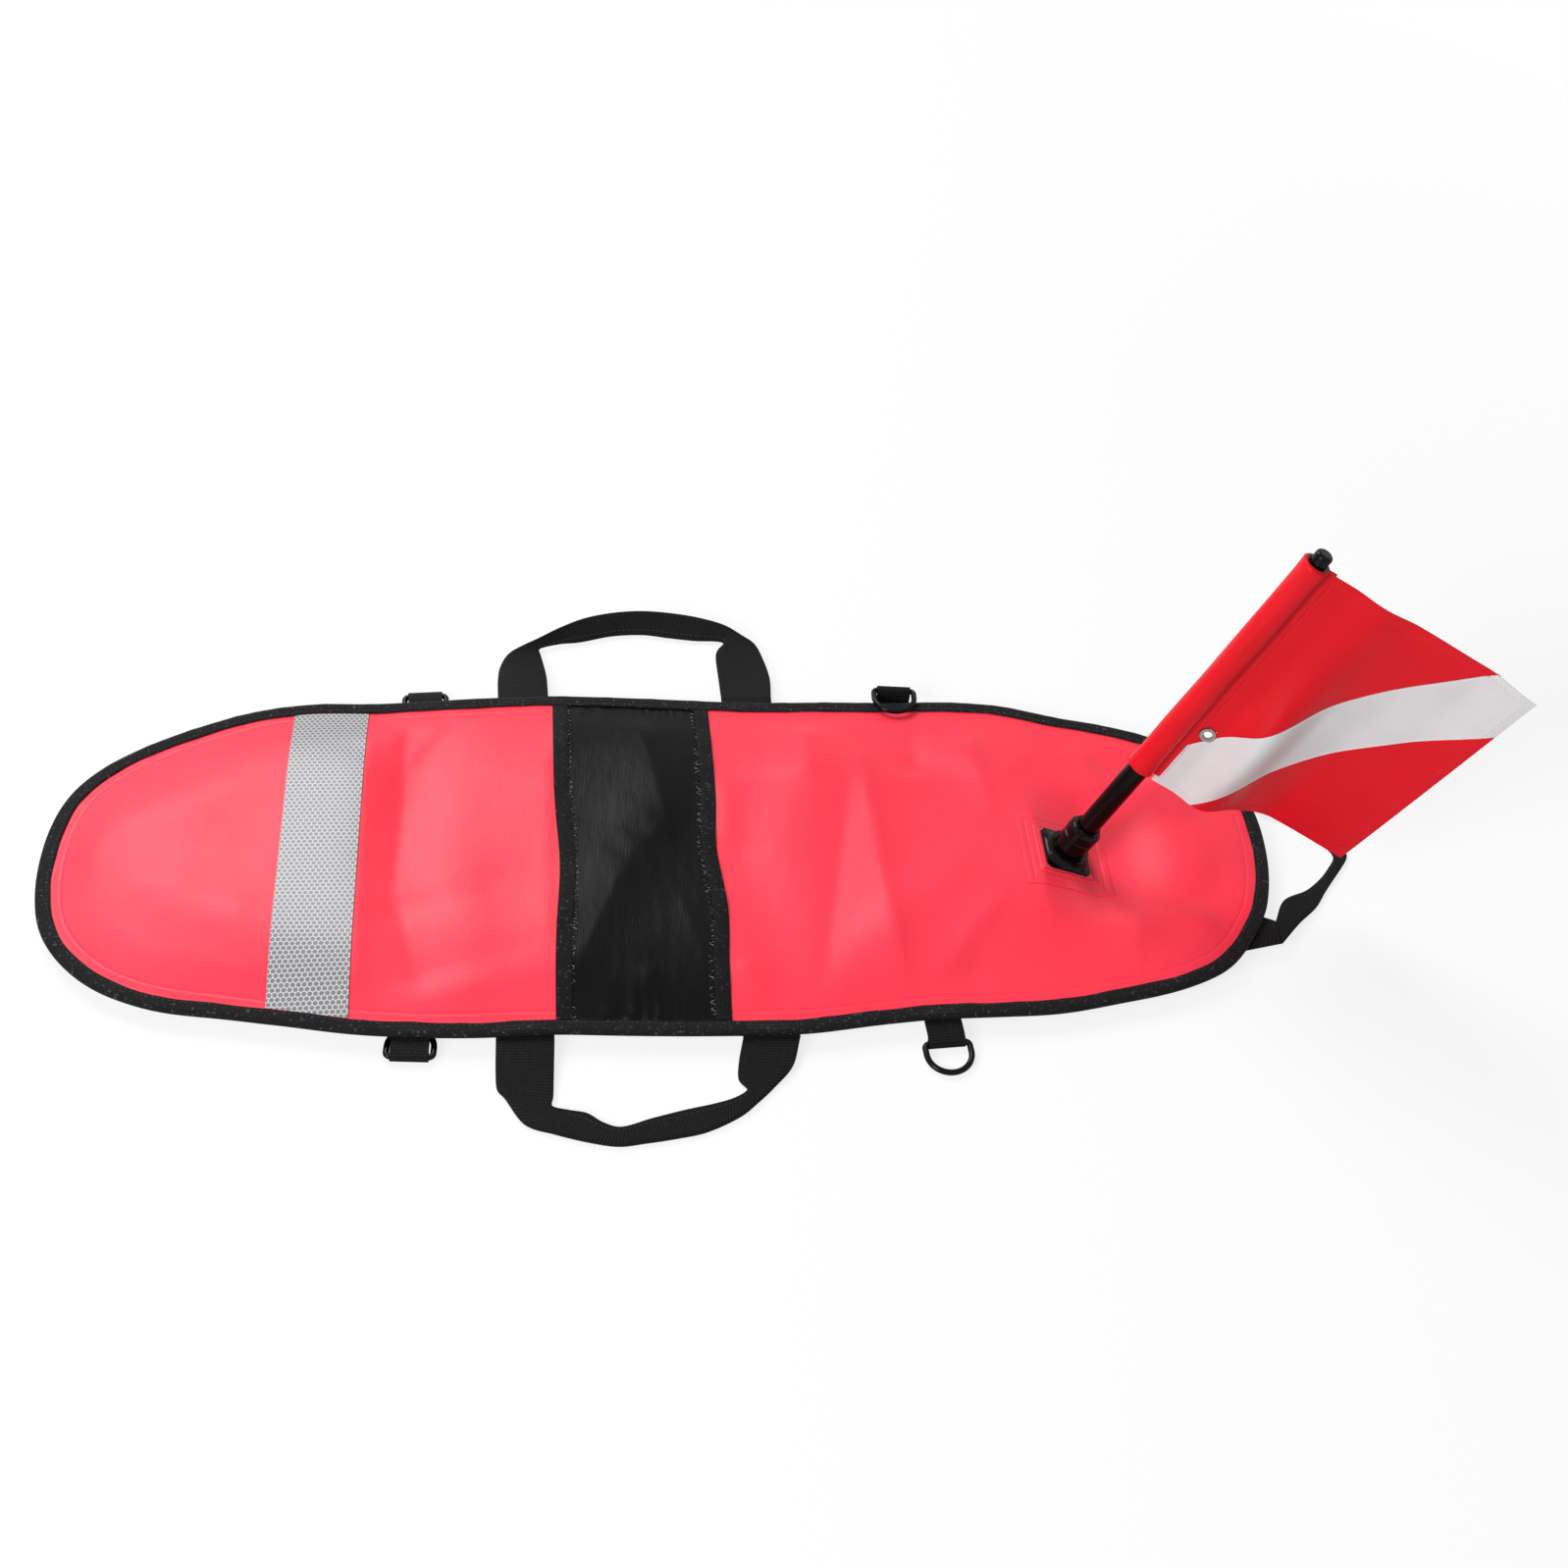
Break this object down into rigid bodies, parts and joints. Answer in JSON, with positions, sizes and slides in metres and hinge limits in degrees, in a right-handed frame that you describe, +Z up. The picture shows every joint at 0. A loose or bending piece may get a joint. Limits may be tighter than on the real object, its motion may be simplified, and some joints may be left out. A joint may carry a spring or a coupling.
{
  "type": "dive flag float",
  "caption": "Slack surfboard-shaped fabric surface float with webbing handles, D-rings, a reflective band and a striped dive flag on a leaning mast.",
  "frame": {"origin": "underside, centred on the board's length and width", "axes": "+X along the board towards the end with the mast, +Z up from the floor it lies on"},
  "size_m": [0.9254, 0.4595, 0.2909],
  "materials": {
    "coral_fabric": "satin coated fabric",
    "black_nylon": "thin glossy woven nylon",
    "black_webbing": "ribbed woven webbing and binding tape",
    "reflective_tape": "honeycomb reflective tape",
    "bladder_film": "clear welded film",
    "black_moulding": "gloss moulded plastic",
    "black_tube": "satin tube",
    "valve_plastic": "satin moulded plastic",
    "flag_red": "thin woven nylon",
    "flag_white": "thin woven nylon",
    "nickel": "plated eyelet"
  },
  "bodies": {
    "float": {"nose_skin": "coral_fabric", "tail_skin": "coral_fabric", "bottom_skin": "coral_fabric", "outer_socket_patch": "coral_fabric", "inner_socket_patch": "coral_fabric", "centre_panel": "black_nylon", "valve_flap": "black_nylon", "edge_binding": "black_webbing", "nose_seam": "black_webbing", "tail_seam": "black_webbing", "far_nose_tab": "black_webbing", "near_nose_tab": "black_webbing", "near_tail_tab": "black_webbing", "far_tail_tab": "black_webbing", "near_handle_nose_anchor": "black_webbing", "near_handle_tail_anchor": "black_webbing", "far_handle_nose_anchor": "black_webbing", "far_handle_tail_anchor": "black_webbing", "end_handle_near_anchor": "black_webbing", "end_handle_far_anchor": "black_webbing", "reflective_band": "reflective_tape", "air_bladder": "bladder_film", "mast_socket": "black_moulding", "socket_collar": "black_moulding", "valve_body": "valve_plastic"},
    "mast": {"mast_tube": "black_tube", "mast_foot": "black_moulding", "mast_cap": "black_moulding"},
    "flag": {"flag_sleeve": "flag_red", "flag_upper_panel": "flag_red", "flag_stripe": "flag_white", "flag_lower_panel": "flag_red", "flag_eyelet": "nickel"},
    "far_nose_ring": {"far_nose_ring": "black_moulding"},
    "near_nose_ring": {"near_nose_ring": "black_moulding"},
    "near_tail_ring": {"near_tail_ring": "black_moulding"},
    "far_tail_ring": {"far_tail_ring": "black_moulding"},
    "near_handle": {"near_handle": "black_webbing"},
    "far_handle": {"far_handle": "black_webbing"},
    "end_handle": {"end_handle": "black_webbing"},
    "valve_cap": {"valve_cap": "valve_plastic"}
  },
  "joints": [
    {"name": "mast_slide", "type": "slide", "parent": "float", "child": "mast", "axis": [0.373, 0, 0.9278], "range_m": [0, 0.03]},
    {"name": "flag_turn", "type": "hinge", "parent": "mast", "child": "flag", "pos_m": [0.268, -0.00775, 0.017], "axis": [0.373, 0, 0.9278], "continuous": true},
    {"name": "far_nose_ring_swing", "type": "hinge", "parent": "float", "child": "far_nose_ring", "pos_m": [-0.17014, 0.15637, 0.0033], "axis": [0.9983, 0.0576, 0], "range_deg": [0, 280]},
    {"name": "near_nose_ring_swing", "type": "hinge", "parent": "float", "child": "near_nose_ring", "pos_m": [-0.17014, -0.15637, 0.0033], "axis": [-0.9983, 0.0576, 0], "range_deg": [0, 280]},
    {"name": "near_tail_ring_swing", "type": "hinge", "parent": "float", "child": "near_tail_ring", "pos_m": [0.16801, -0.15422, 0.0033], "axis": [-0.9978, -0.0666, 0], "range_deg": [-160, 108]},
    {"name": "far_tail_ring_swing", "type": "hinge", "parent": "float", "child": "far_tail_ring", "pos_m": [0.16772, 0.14983, 0.0153], "axis": [0.9978, -0.0666, 0], "range_deg": [-240, 0]},
    {"name": "near_handle_swing", "type": "hinge", "parent": "float", "child": "near_handle", "pos_m": [-0.02, -0.14995, 0.00705], "axis": [-1, 0, 0], "range_deg": [-60, 80]},
    {"name": "far_handle_swing", "type": "hinge", "parent": "float", "child": "far_handle", "pos_m": [-0.02, 0.14995, 0.00705], "axis": [1, 0, 0], "range_deg": [-60, 80]},
    {"name": "end_handle_swing", "type": "hinge", "parent": "float", "child": "end_handle", "pos_m": [0.4065, 0, 0.00705], "axis": [0, -1, 0], "range_deg": [-60, 52]},
    {"name": "valve_cap_turn", "type": "hinge", "parent": "float", "child": "valve_cap", "pos_m": [0.15, 0, 0], "axis": [0, 0, 1], "range_deg": [0, 90]}
  ]
}
